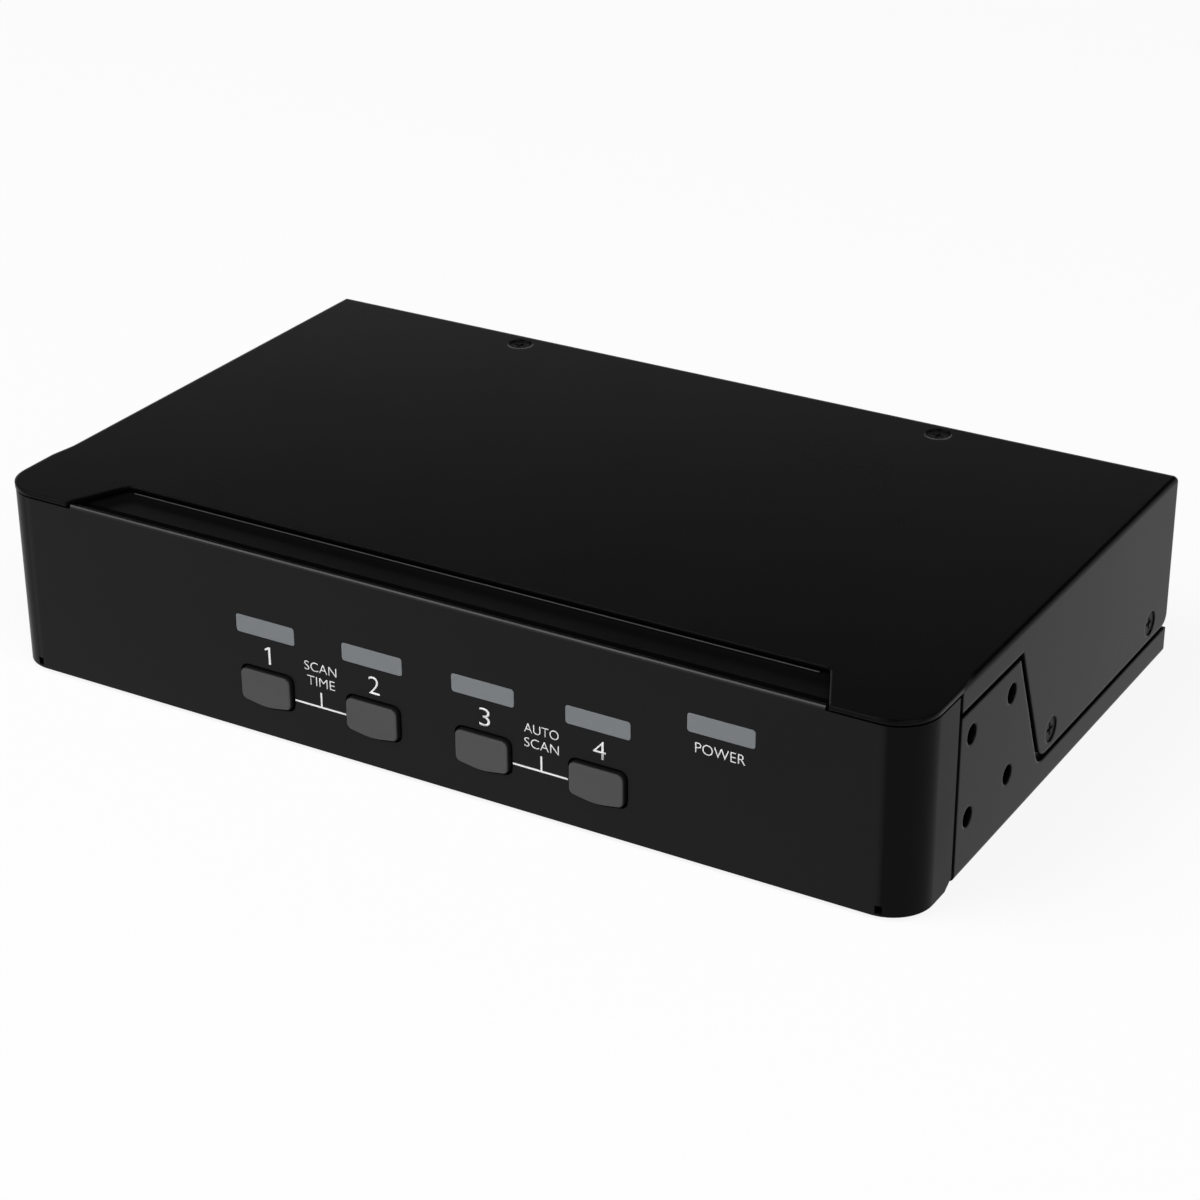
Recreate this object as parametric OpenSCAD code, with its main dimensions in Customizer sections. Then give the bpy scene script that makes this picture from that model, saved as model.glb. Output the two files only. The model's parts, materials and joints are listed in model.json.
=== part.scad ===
// Desktop KVM switch with four computer ports: a sheet steel case with a moulded front.
// Millimetres. +X is right, +Y is to the rear, +Z is up. The origin is under the middle, on the table.

/* [Case] */
// Width of the case
body_w = 221; // [216:1:260]
// Depth from the front face to the rear face
body_d = 131.2; // [126:0.1:170]
// Height of the case above its feet
body_h = 43; // [41:0.5:60]
// Thickness of the sheet steel
sheet_t = 1; // [0.8:0.1:1.2]
// Outer radius of the bends in the sheet steel
bend_r = 1.2; // [1.2:0.1:3]
// Radius of the front corners seen from above
corner_r = 9; // [5:0.5:14]
// Open seam between the front, the cover and the base
seam_gap = 1.3; // [0.3:0.1:1.4]
// Clearance between sheets that slide past each other
sheet_gap = 0.1; // [0.05:0.05:0.3]

/* [Side seams] */
// Length over which the cover plate's square edge runs out into the bend
bend_run = 8; // [2:0.5:12]
// Length of the front moulding round the side
bezel_wrap = 17.3; // [16.5:0.1:24]
// Length of the base's front ear at its top edge
ear_len = 29.8; // [29:0.1:36]
// Height of the ear above the underside
ear_h = 36.9; // [34:0.1:38]
// How far the ear's sloping edge runs back as it comes down
ear_slope = 12.3; // [4:0.1:18]
// Radius at the foot of the sloping edge
ear_foot_r = 4.5; // [1:0.5:6]
// Height of the base's low side wall
strip_h = 7; // [5:0.1:8]
// Radius of the cover's lower rear corners
flange_r = 2.5; // [0.5:0.5:4]

/* [Bracket holes] */
// Radius of a bracket hole
bracket_hole_r = 2.2; // [1:0.1:2.5]
// From the front seam to the first column of bracket holes
bracket_inset = 6.4; // [4:0.1:8]
// Spacing of the bracket holes along the case
bracket_pitch_y = 19.2; // [10:0.1:21]
// Spacing of the bracket holes up the case
bracket_pitch_z = 18.4; // [10:0.1:20]
// Height of the lower bracket holes above the underside
bracket_z = 12.2; // [9:0.1:14]

/* [Front moulding] */
// Wall of the front moulding
bezel_t = 2.2; // [1.6:0.1:3]
// Upright seam between the moulding and the cover plate
top_seam = 0.5; // [0.1:0.05:0.6]
// How far the cover plate stands past the front face
overhang = 0.2; // [0:0.05:0.5]
// Depth of the ledge along the top of the moulding
ledge_d = 15.6; // [15:0.1:16.2]
// Thickness of the ledge
ledge_t = 2.4; // [2:0.1:3]
// Width of the recess in the cover along its front edge
recess_front_w = 183; // [120:1:190]
// Width of the recess along its rear edge
recess_back_w = 170; // [110:1:180]
// Depth of the recess from front to rear
recess_d = 13.5; // [8:0.1:14.4]
// Radius of the recess's rear corners
recess_r = 2; // [0.5:0.1:8]
// Thickness of the lip along the front of the recess
lip_t = 1.1; // [1:0.1:2]
// How far the lip's top lies under the cover's top face
lip_drop = 0.5; // [0.2:0.1:0.9]
// Radius on the lip's front edge
lip_r = 0.8; // [0.3:0.1:0.9]
// Width of the groove behind the lip
groove_w = 3.3; // [0.6:0.1:4]
// Depth of the groove
groove_d = 1.5; // [0.3:0.1:1.6]
// Height of the rib along the rear of the recess
rib_h = 0.5; // [0.2:0.1:0.8]
// Thickness of that rib
rib_t = 0.6; // [0.4:0.1:1.2]
// Clearance round the lip and the rib in the recess
rib_gap = 0.3; // [0.2:0.1:1]
// Clearance between the moulding and the base's floor
floor_gap = 0.3; // [0.2:0.1:1.2]
// Width of the two release slots over the lower edge
notch_w = 1.5; // [1:0.1:4]
// Height of the release slots
notch_h = 1.8; // [1:0.1:4]
// Web of the moulding under a release slot
notch_low = 0.5; // [0.3:0.1:1]
// How far the moulding's lower edge is cut back at the seam
skirt_run = 2.8; // [1:0.1:4]
// How high that cut rises at the seam
skirt_rise = 1.7; // [0.5:0.1:3]
// From the side of the case to the middle of a release slot
notch_inset = 7.4; // [6:0.1:14]

/* [Buttons] */
// First column of buttons and port lamps
port_x = -40; // [-46:0.5:-34]
// Spacing of the columns
port_pitch = 27; // [20:0.5:28]
// Width of a button
button_w = 12.8; // [10:0.1:16]
// Height of a button
button_h = 8.1; // [6:0.1:9]
// How much the lower edge of a button bows down
button_bow = 0.7; // [0.4:0.1:1.5]
// Radius of a button's corners
button_r = 1.5; // [0.5:0.1:2]
// How far a button stands out of the front face
button_proud = 1.1; // [0.8:0.1:2.5]
// Clearance round a button
button_gap = 0.55; // [0.15:0.05:0.8]
// Height of the buttons' middle above the underside
button_z = 11.4; // [10:0.1:15]
// Travel of a button
button_travel = 0.5; // [0.2:0.1:0.8]
// Width of the rim behind the wall that keeps a button in
button_rim = 1; // [0.5:0.1:2]
// Thickness of that rim
rim_t = 1.2; // [0.8:0.1:2]
// Clearance between the rim and the wall
rim_gap = 0.2; // [0.1:0.05:0.4]
// Radius of the stem behind a button
stem_r = 2; // [1:0.1:2.5]

/* [Lamps] */
// Width of a lamp window
lens_w = 15; // [8:0.1:18]
// Height of a lamp window
lens_h = 4.2; // [2:0.1:6]
// Radius of a window's corners
lens_r = 0.7; // [0.2:0.1:1]
// Clearance round a window
lens_gap = 0.05; // [0.02:0.01:0.2]
// Height of the port lamps' middle above the underside
lens_z = 25.3; // [22:0.1:27]
// Place of the power lamp across the front
power_x = 68.6; // [64:0.1:70]
// Height of the power lamp's middle above the underside
power_z = 31.1; // [26:0.1:32]
// Rim behind the wall that a window is glued by
lens_rim = 0.9; // [0.4:0.1:1.2]
// Gap between a window's light guide and its lamp
lamp_gap = 0.4; // [0.2:0.1:1]
// Width of a lamp on the board
lamp_w = 3.2; // [2:0.1:5]
// Depth of a lamp on the board
lamp_t = 1.4; // [0.8:0.1:2]

/* [Front board] */
// Thickness of every circuit board
board_t = 1.6; // [1:0.1:2]
// From the moulding's wall to the front board
board_space = 8.4; // [7.8:0.1:9.5]
// From the outer lamp windows to the front board's ends
front_board_margin = 10; // [8.5:0.1:12]
// From the front board's lower edge to the floor
front_board_low = 3.2; // [2:0.1:5]
// From the front board's upper edge to the moulding's ledge
front_board_high = 2.35; // [1:0.05:4]
// From the edges of a board to the middle of its screw holes
hole_inset = 4; // [3.6:0.1:5]
// Radius of the moulding's screw posts
post_r = 3; // [2.6:0.1:3.4]
// Side of a push switch body
switch_w = 6; // [5:0.1:7]
// Thickness of a push switch body
switch_t = 3.5; // [3:0.1:4.2]
// Radius of a switch plunger
plunger_r = 1.7; // [1:0.1:2]
// How far a plunger stands out of its switch
plunger_out = 1.5; // [1.2:0.1:2]
// How far a plunger reaches into its switch
plunger_in = 1.2; // [0.6:0.1:1.6]
// Clearance round a plunger
plunger_gap = 0.2; // [0.1:0.05:0.4]
// Number of pins in the link to the front board
link_pins = 10; // [4:1:16]
// Spacing of the link's pins
link_pitch = 2.54; // [2:0.01:2.54]
// Depth of the link's socket
link_socket_d = 8.5; // [6:0.5:10]
// Thickness of the link's insulators
link_t = 2.6; // [2.5:0.1:3]
// Side of a square pin
pin_w = 0.64; // [0.4:0.02:0.8]
// Clearance round a pin
pin_gap = 0.2; // [0.1:0.05:0.4]

/* [Main boards] */
// Gap between the lower board's sides and the base's screw tabs
board_side_gap = 2.4; // [0.5:0.1:4]
// From the posts to the edges of the upper board
video_margin = 5; // [4:0.5:6]
// Gap between a board's rear edge and the rear panel
board_gap = 1; // [0.3:0.1:2]
// Height of the posts under the lower board
standoff_h = 5; // [4.5:0.1:6.5]
// Radius of the posts under the lower board
standoff_r = 2.7; // [2.3:0.1:3.4]
// Gap between the tallest socket on the lower board and the upper board
board_clear = 1.4; // [0.5:0.1:3]
// Width across the pillars' flats
pillar_flats = 5.5; // [5:0.1:7]
// From the sides of the lower board to its posts
post_inset = 8.5; // [6:0.5:10]
// From the rear face to the first row of posts
post_row_1 = 24; // [22:0.5:26]
// From the rear face to the second row of posts
post_row_2 = 48; // [44:0.5:49]
// Length of the plug between the boards
stack_l = 44; // [20:1:60]
// Thickness of the plug between the boards
stack_t = 6; // [4:0.5:8]
// Side of the large switching chip
video_chip_w = 15; // [10:0.5:20]
// Side of the controller chip
control_chip_w = 14; // [8:0.5:20]
// Side of a small chip
small_chip_w = 7; // [4:0.5:10]
// Thickness of the chips
chip_t = 1.2; // [0.8:0.1:2]
// Side of the heat sink
sink_w = 26; // [18:0.5:30]
// Height of the heat sink
sink_h = 7; // [4:0.5:9]
// Thickness of the heat sink's base
sink_base = 2; // [1:0.1:3]
// Thickness of a heat sink fin
fin_t = 1; // [0.6:0.1:1.4]
// Number of heat sink fins
fin_count = 7; // [4:1:9]
// Radius of a filter capacitor
cap_r = 3.2; // [2:0.1:4]
// Height of a filter capacitor
cap_h = 8; // [5:0.5:12]
// Side of the power inductor
coil_w = 8; // [5:0.5:10]
// Height of the power inductor
coil_h = 4; // [2:0.5:6]
// Length of the clock crystal
crystal_l = 11; // [8:0.5:12]
// Width of the clock crystal
crystal_w = 4.6; // [3:0.1:5]
// Height of the clock crystal
crystal_h = 3.5; // [2:0.1:4]

/* [Rear sockets] */
// Number of socket groups, the console's and one for each computer
group_count = 5; // [4:1:5]
// From the rear panel's end to the middle of the console's sockets
group_margin = 23.4; // [21:0.1:26]
// From the rear panel's other end to the power jack
power_margin = 9.6; // [8.6:0.1:11]
// From the power jack to the middle of the last socket group
power_step = 23.2; // [22.4:0.1:26]
// How far the socket shells stand out of the rear face
shell_proud = 0.5; // [0.3:0.1:1.5]
// Gap round a shell in the rear panel
panel_gap = 0.6; // [0.3:0.1:0.8]
// How far a socket's tongue lies inside the mouth
tongue_inset = 2.6; // [2.5:0.1:4]
// Thickness of a flat tongue
tongue_t = 2; // [1.5:0.1:2.4]
// Width of a video socket's shell
video_w = 17.6; // [17:0.1:18.5]
// Height of a video socket's shell
video_h = 6.4; // [6:0.1:7]
// Depth of a video socket
video_d = 15; // [12:0.5:17]
// Size of the slanted corner of a video socket
video_chamfer = 1.8; // [1:0.1:2]
// Wall of the socket shells
shell_t = 0.5; // [0.3:0.05:0.6]
// From a group's middle to its data socket
data_offset = -10; // [-11:0.1:-9]
// Width of a computer's data socket
host_w = 12; // [11.5:0.1:12.5]
// Height of a computer's data socket
host_h = 10.8; // [10.5:0.1:11.5]
// Depth of a computer's data socket
host_d = 16; // [14:0.5:18]
// Width of the console's double data socket
device_w = 13.2; // [13:0.1:14]
// Height of the console's double data socket
device_h = 15.6; // [15:0.1:15.8]
// Depth of the console's double data socket
device_d = 17; // [15:0.5:18]
// From a group's middle to its first sound jack
jack_offset = 3.6; // [3:0.1:4]
// Spacing of the two sound jacks
jack_pitch = 9.6; // [9.2:0.1:10]
// Width of a sound jack
jack_w = 8.4; // [7.6:0.1:9]
// Height of a sound jack
jack_h = 8; // [7.6:0.1:10]
// Depth of a sound jack
jack_d = 13; // [10:0.5:15]
// Bore radius of a sound jack
jack_bore_r = 1.8; // [1.7:0.05:2]
// Length of a sound jack's bore
jack_bore_l = 10; // [6:0.5:12]
// Radius of a sound jack's nose
jack_nose_r = 3.3; // [3:0.1:3.5]
// Radius of the wide mouth in a sound jack's nose
jack_mouth_r = 2.6; // [2.3:0.1:2.7]
// Width of the power jack
power_jack_w = 9; // [8.6:0.1:9.4]
// Height of the power jack
power_jack_h = 11; // [10:0.1:12]
// Depth of the power jack
power_jack_d = 14; // [12:0.5:16]
// Bore radius of the power jack
power_bore_r = 3.15; // [2.9:0.05:3.3]
// Length of the power jack's bore
power_bore_l = 10; // [8:0.5:11]
// Radius of the power jack's pin
power_pin_r = 1; // [0.8:0.05:1.3]
// Depth of the rear panel's folded edges
panel_fold = 9; // [8.5:0.1:12]

/* [Fasteners] */
// Diameter of the screws
screw_d = 2.9; // [2:0.1:3]
// Diameter of a sunk screw head
sunk_head_d = 5.6; // [4.6:0.1:6]
// How deep a sunk head lies under the sheet's face
head_sink = 0.3; // [0:0.1:0.5]
// Length of the screws
screw_l = 4.8; // [4:0.1:5]
// Diameter of a raised screw head
raised_head_d = 5.2; // [4.6:0.1:5.6]
// Height of a raised screw head
raised_head_h = 1.7; // [1:0.1:1.9]
// Clearance round a screw in its hole
screw_gap = 0.05; // [0.02:0.01:0.1]
// Width of the cross in a screw head
cross_w = 0.7; // [0.4:0.1:1]
// Depth of the cross in a screw head
cross_d = 0.6; // [0.3:0.1:0.9]
// From the rear face to the rear cover screws
rear_screw_inset = 4.6; // [4.4:0.1:6]
// Place of the two top screws, from the middle
top_screw_x = 55.3; // [30:0.1:80]
// Height of the side screws above the underside
side_screw_z = 11.8; // [11:0.1:14]
// From the foot of the ear's slope back to the first side screws
side_screw_front = 5.9; // [5:0.1:20]
// From the rear face to the second side screws
side_screw_back = 10.5; // [9:0.1:14]
// Width of the base's tabs behind the side screws
tab_w = 12; // [8:0.5:14]
// Height of those tabs above the screws
tab_rise = 5; // [3:0.5:8]
// How far those tabs reach down inside the side wall
tab_lap = 3; // [2:0.1:4]
// Width of the base's front folds that the moulding is screwed to
fold_w = 12; // [8:0.5:14]
// Height of the front folds
fold_h = 13; // [10:0.5:20]
// From the sides of the case to the front folds
fold_inset = 3; // [3:0.1:6]
// Place of the outer screws under the rear panel, from the middle
panel_screw_x = 70; // [30:1:90]

/* [Feet] */
// Height of the rubber feet
foot_h = 1; // [0.8:0.1:6]
// Radius of the rubber feet
foot_r = 6; // [4:0.5:9]
// From the sides of the case to the middle of a front foot
foot_inset_x = 15; // [12:0.5:30]
// From the front of the case to the middle of a front foot
foot_inset_y = 22; // [16:0.5:40]
// From the side and the rear of the case to the middle of a rear foot
rear_foot_inset = 7.5; // [7:0.5:20]

/* [Hidden] */

$fn = 64;
arc_steps = 8;
through = 1;
port_count = 4;

// Faces of the case
half_w = body_w / 2;
z_floor = foot_h;
z_top = foot_h + body_h;
y_front = (button_proud - body_d - shell_proud) / 2;
y_back = y_front + body_d;
y_seam = y_front + bezel_wrap;
y_steel = y_seam + seam_gap;
y_mouth = y_back + shell_proud;
inner_w = body_w - 2 * sheet_t;

// Top of the moulding, and the columns and rows on the front
z_ledge = z_top - sheet_t - top_seam;
z_lip = z_top - lip_drop;
ports = [for (i = [0 : port_count - 1]) port_x + i * port_pitch];
lamps = concat([for (x = ports) [x, lens_z]], [[power_x, power_z]]);

// Front board and what stands on it
y_wall = y_front + bezel_t;
y_board = y_wall + board_space;
y_board_back = y_board + board_t;
y_rim_back = y_wall + rim_gap + rim_t;
y_switch = y_board - switch_t;
y_plunger = y_switch - plunger_out;
y_lamp = y_board - lamp_t;
front_board_x0 = ports[0] - lens_w / 2 - front_board_margin;
front_board_x1 = power_x + lens_w / 2 + front_board_margin;
front_board_z0 = z_floor + sheet_t + front_board_low;
front_board_z1 = z_ledge - ledge_t - front_board_high;
front_posts = [
    for (x = [front_board_x0 + hole_inset, front_board_x1 - hole_inset])
    for (z = [front_board_z0 + hole_inset, front_board_z1 - hole_inset])
    [x, z]
];

// Fold at the front of the base that the moulding is screwed to
y_fold = y_seam - sheet_t;
fold_x = half_w - fold_inset - fold_w / 2;
fold_screw_z = z_floor + fold_h - hole_inset;

// Lower and upper boards
tab_x = half_w - sheet_t - sheet_gap;
main_board_w = 2 * (tab_x - sheet_t - board_side_gap);
post_x = main_board_w / 2 - post_inset;
video_board_w = 2 * (post_x + video_margin);
pillar_h = device_h + board_clear;
z_main = z_floor + sheet_t + standoff_h;
z_main_top = z_main + board_t;
z_video = z_main_top + pillar_h;
z_video_top = z_video + board_t;
y_link = y_board_back + link_socket_d;
y_main_front = y_link + link_t + pin_gap;
y_main_back = y_back - sheet_t - board_gap;
y_video_front = y_back - post_row_2 - video_margin;
y_post_front = y_main_front + hole_inset;
rear_posts = [for (x = [-post_x, post_x]) for (y = [y_back - post_row_2, y_back - post_row_1]) [x, y]];
front_row_posts = [for (x = [-post_x, post_x]) [x, y_post_front]];
y_stack = y_back - (post_row_1 + post_row_2) / 2;
sink_z = z_video_top + chip_t;
link_w = link_pins * link_pitch;
link_x = (front_board_x0 + front_board_x1) / 2;
link_z = z_main_top + link_t / 2;
pin_len = link_socket_d - pin_gap;

// Rear panel and sockets
panel_w = inner_w - 2 * sheet_gap;
power_jack_x = panel_w / 2 - power_margin;
group_x = group_margin - panel_w / 2;
group_pitch = (power_jack_x - power_step - group_x) / (group_count - 1);
groups = [for (i = [0 : group_count - 1]) group_x + i * group_pitch];
host_groups = [for (i = [1 : group_count - 1]) groups[i]];
console = groups[0];
chip_x = (groups[1] + groups[2]) / 2;
stack_x = (groups[2] + groups[3]) / 2;
z_panel = z_floor + sheet_t;
panel_h = body_h - 2 * sheet_t;
z_jack = z_main_top + jack_h / 2;
z_power_jack = z_main_top + power_jack_h / 2;
y_jack = y_back - sheet_t - sheet_gap;
panel_screws_x = [-panel_screw_x, 0, panel_screw_x];

// Feet on the right
foot_places = [
    [half_w - foot_inset_x, y_front + foot_inset_y],
    [half_w - rear_foot_inset, y_back - rear_foot_inset]
];

// Screws
screw_r = screw_d / 2;
bore_r = screw_r + screw_gap;
sunk_h = (sunk_head_d - screw_d) / 2;
y_side_screws = [y_seam + ear_len + ear_slope + side_screw_front, y_back - side_screw_back];
z_side_screw = z_floor + side_screw_z;
y_rear_screw = y_back - rear_screw_inset;
z_tab = z_side_screw + tab_rise;

// Base colours
steel_black = "#1d1d1f";
moulded_black = "#1a1a1c";
button_grey = "#4b4b4d";
board_green = "#1f5c3a";
chip_black = "#2a2a2c";
bright_steel = "#c4c6c8";
brass = "#c9a95a";

// Direction of a vector
function unit(v) = v / norm(v);

// Corner b of the path a, b, c as an arc of radius r that touches both edges
function round_corner(a, b, c, r) =
    let (u = unit(a - b))
    let (v = unit(c - b))
    let (half = acos(u * v) / 2)
    let (middle = b + unit(u + v) * r / sin(half))
    let (start = b + u * r / tan(half) - middle)
    let (sweep = sign(cross(b - a, c - b)) * (180 - 2 * half))
    [
        for (i = [0 : arc_steps])
        let (t = sweep * i / arc_steps)
        middle + [start.x * cos(t) - start.y * sin(t), start.x * sin(t) + start.y * cos(t)]
    ];

// Closed outline from corners [x, y, radius]
function rounded(p) = [
    for (i = [0 : len(p) - 1])
    let (a = p[(i + len(p) - 1) % len(p)])
    let (b = p[i])
    let (c = p[(i + 1) % len(p)])
    each b.z == 0 ? [[b.x, b.y]] : round_corner([a.x, a.y], [b.x, b.y], [c.x, c.y], b.z)
];

// Outline of a button grown by g on every side
function button_outline(g) =
    let (w = button_w / 2 + g)
    let (h = button_h / 2 + g)
    rounded([
        [-w, h, button_r + g],
        [-w, button_bow - h, button_r + g],
        [0, -h - button_bow / 2, button_w],
        [w, button_bow - h, button_r + g],
        [w, h, button_r + g]
    ]);

// Outline of a lamp window grown by g on every side
function lens_outline(g) =
    let (w = lens_w / 2 + g)
    let (h = lens_h / 2 + g)
    rounded([[-w, -h, lens_r], [w, -h, lens_r], [w, h, lens_r], [-w, h, lens_r]]);

// Rectangle [x0, x1] by [y0, y1] with its two lower corners round
module round_low(x0, x1, y0, y1, r) {
    translate([x0 + r, y0])
        square([x1 - x0 - 2 * r, y1 - y0]);
    translate([x0, y0 + r])
        square([x1 - x0, y1 - y0 - r]);
    for (x = [x0 + r, x1 - r])
        translate([x, y0 + r])
            circle(r);
}

// A shape drawn in x and z, drawn out from y0 to y1
module along_y(y0, y1) {
    translate([0, y1, 0])
        rotate([90, 0, 0])
            linear_extrude(y1 - y0)
                children();
}

// A shape drawn in y and z, drawn out from x0 to x1
module along_x(x0, x1) {
    translate([x0, 0, 0])
        rotate([90, 0, 90])
            linear_extrude(x1 - x0)
                children();
}

// A box from one corner to the opposite one
module block(low, high) {
    translate(low)
        cube(high - low);
}

// A round bar along +Y from y0 to y1
module bar_y(x, z, r, y0, y1) {
    translate([x, y1, z])
        rotate([90, 0, 0])
            cylinder(r = r, h = y1 - y0);
}

// Everything on the right side, and its mirror image on the left
module both_sides() {
    children();
    mirror([1, 0, 0])
        children();
}

// Cross that is cut into a screw head whose top lies at z = 0
module head_cross() {
    for (a = [0, 90])
        rotate(a)
            translate([-sunk_head_d / 4, -cross_w / 2, -cross_d])
                cube([sunk_head_d / 2, cross_w, cross_d + through]);
}

// Sunk screw with its head's top at z = 0, pointing down
module sunk_screw() {
    difference() {
        union() {
            translate([0, 0, -sunk_h])
                cylinder(r1 = screw_r, r2 = sunk_head_d / 2, h = sunk_h);
            translate([0, 0, -screw_l])
                cylinder(r = screw_r, h = screw_l - sunk_h);
        }
        head_cross();
    }
}

// Hole for a sunk screw through a sheet whose top lies at z = 0
module sunk_hole() {
    translate([0, 0, -sunk_h])
        cylinder(r1 = bore_r, r2 = bore_r + sunk_h, h = sunk_h);
    translate([0, 0, -screw_l])
        cylinder(r = bore_r, h = screw_l);
    cylinder(r = bore_r + sunk_h, h = through);
}

// Screw with a raised head that rests on z = 0, pointing down by length l
module raised_screw(l) {
    difference() {
        union() {
            cylinder(r = raised_head_d / 2, h = raised_head_h);
            translate([0, 0, -l])
                cylinder(r = screw_r, h = l + raised_head_h / 2);
        }
        translate([0, 0, raised_head_h])
            head_cross();
    }
}

// Places on the right side of the case, with z pointing out of the side
module at_side_screws() {
    for (y = y_side_screws)
        translate([half_w - head_sink, y, z_side_screw])
            rotate([0, 90, 0])
                children();
}

// Places of the two screws at the rear of the cover
module at_top_screws() {
    for (x = [-top_screw_x, top_screw_x])
        translate([x, y_rear_screw, z_top - head_sink])
            children();
}

// Places of the screws under the rear panel, with z pointing down out of the floor
module at_panel_screws() {
    for (x = panel_screws_x)
        translate([x, y_rear_screw, z_floor + head_sink])
            rotate([180, 0, 0])
                children();
}

// Ear of the base seen from the side
module ear_outline() {
    y_top = y_seam + ear_len;
    y_low = y_top + ear_slope;
    polygon(rounded([
        [y_steel, z_floor + bend_r, 0],
        [y_low + ear_foot_r * 2, z_floor + bend_r, 0],
        [y_low + ear_foot_r * 2, z_floor + strip_h - seam_gap / 2, 0],
        [y_low - seam_gap / 2, z_floor + strip_h - seam_gap / 2, ear_foot_r],
        [y_top - seam_gap / 2, z_floor + ear_h - seam_gap / 2, 0],
        [y_steel, z_floor + ear_h - seam_gap / 2, 0]
    ]));
}

// Side of the cover seen from the side, up to its top
module flange_outline() {
    y_top = y_seam + ear_len;
    y_low = y_top + ear_slope;
    z_low = z_floor + strip_h + seam_gap / 2;
    z_ear = z_floor + ear_h + seam_gap / 2;
    polygon(rounded([
        [y_steel, z_top, 0],
        [y_steel, z_ear, 0],
        [y_top + seam_gap / 2, z_ear, 0],
        [y_low + seam_gap / 2, z_low, ear_foot_r],
        [y_back, z_low, flange_r],
        [y_back, z_top, 0]
    ]));
}

// Folded steel base: floor, low side walls, front ears, screw tabs and front folds
module base_chassis() {
    strip_top = z_floor + strip_h - seam_gap / 2;
    floor_inset = bezel_t + floor_gap;
    color(steel_black)
    difference() {
        union() {
            along_y(y_steel, y_back)
                difference() {
                    round_low(-half_w, half_w, z_floor, strip_top, bend_r);
                    round_low(
                        sheet_t - half_w, half_w - sheet_t,
                        z_floor + sheet_t, strip_top + through, bend_r - sheet_t
                    );
                }
            translate([0, 0, z_floor])
                linear_extrude(sheet_t)
                    round_low(
                        floor_inset - half_w, half_w - floor_inset,
                        y_front + floor_inset, y_steel + bend_r, corner_r - floor_inset
                    );
            both_sides() {
                along_x(half_w - sheet_t, half_w)
                    ear_outline();
                for (y = y_side_screws)
                    block(
                        [tab_x - sheet_t, y - tab_w / 2, strip_top - tab_lap],
                        [tab_x, y + tab_w / 2, z_tab]
                    );
                for (y = y_side_screws)
                    block(
                        [tab_x - sheet_t, y - tab_w / 2, strip_top - tab_lap],
                        [half_w - sheet_t / 2, y + tab_w / 2, strip_top - seam_gap]
                    );
                block(
                    [fold_x - fold_w / 2, y_fold, z_floor],
                    [fold_x + fold_w / 2, y_fold + sheet_t, z_floor + fold_h]
                );
            }
        }
        both_sides() {
            for (i = [0, 1])
                for (j = [0, 1])
                    translate([
                        half_w - sheet_t - through,
                        y_seam + bracket_inset + i * bracket_pitch_y,
                        z_floor + bracket_z + j * bracket_pitch_z
                    ])
                        rotate([0, 90, 0])
                            cylinder(r = bracket_hole_r, h = sheet_t + 2 * through);
            at_side_screws()
                sunk_hole();
            bar_y(fold_x, fold_screw_z, bore_r, y_fold - through, y_fold + sheet_t + through);
        }
        at_panel_screws()
            sunk_hole();
    }
}

// Steel plate behind the sockets, folded forward along its top and bottom
module rear_panel() {
    x_end = panel_w / 2;
    x_fold = x_end - bend_r;
    z_high = z_panel + panel_h;
    color(steel_black)
    difference() {
        union() {
            along_y(y_back - sheet_t, y_back)
                polygon(rounded([
                    [-x_end, z_panel, bend_r],
                    [x_end, z_panel, bend_r],
                    [x_end, z_high, bend_r],
                    [-x_end, z_high, bend_r]
                ]));
            for (z = [z_panel, z_high - sheet_t])
                block([-x_fold, y_back - panel_fold, z], [x_fold, y_back, z + sheet_t]);
        }
        along_y(y_back - sheet_t - through, y_back + through) {
            for (x = groups)
                translate([x - video_w / 2 - panel_gap, z_video_top - panel_gap])
                    square([video_w + 2 * panel_gap, video_h + 2 * panel_gap]);
            for (x = host_groups)
                translate([x + data_offset - host_w / 2 - panel_gap, z_main_top - panel_gap])
                    square([host_w + 2 * panel_gap, host_h + 2 * panel_gap]);
            translate([console + data_offset - device_w / 2 - panel_gap, z_main_top - panel_gap])
                square([device_w + 2 * panel_gap, device_h + 2 * panel_gap]);
            translate([power_jack_x - power_jack_w / 2 - panel_gap, z_main_top - panel_gap])
                square([power_jack_w + 2 * panel_gap, power_jack_h + 2 * panel_gap]);
            for (x = groups)
                translate([x + jack_offset - jack_w / 2 - panel_gap, z_main_top - panel_gap])
                    square([jack_pitch + jack_w + 2 * panel_gap, jack_h + 2 * panel_gap]);
        }
        at_top_screws()
            sunk_hole();
        at_panel_screws()
            sunk_hole();
    }
}

// Width of the recess at a place between its front and its rear edge
function recess_width(y) =
    recess_front_w - (recess_front_w - recess_back_w) * (y - y_front + overhang) / (recess_d + overhang);

// Recess in the cover's front edge, seen from above and drawn on past the edge
module recess_outline() {
    y_out = y_front - overhang - through;
    y_rear = y_front + recess_d;
    front = recess_width(y_out) / 2;
    rear = recess_back_w / 2;
    polygon(rounded([
        [-front, y_out, 0],
        [front, y_out, 0],
        [rear, y_rear, recess_r],
        [-rear, y_rear, recess_r]
    ]));
}

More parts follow.
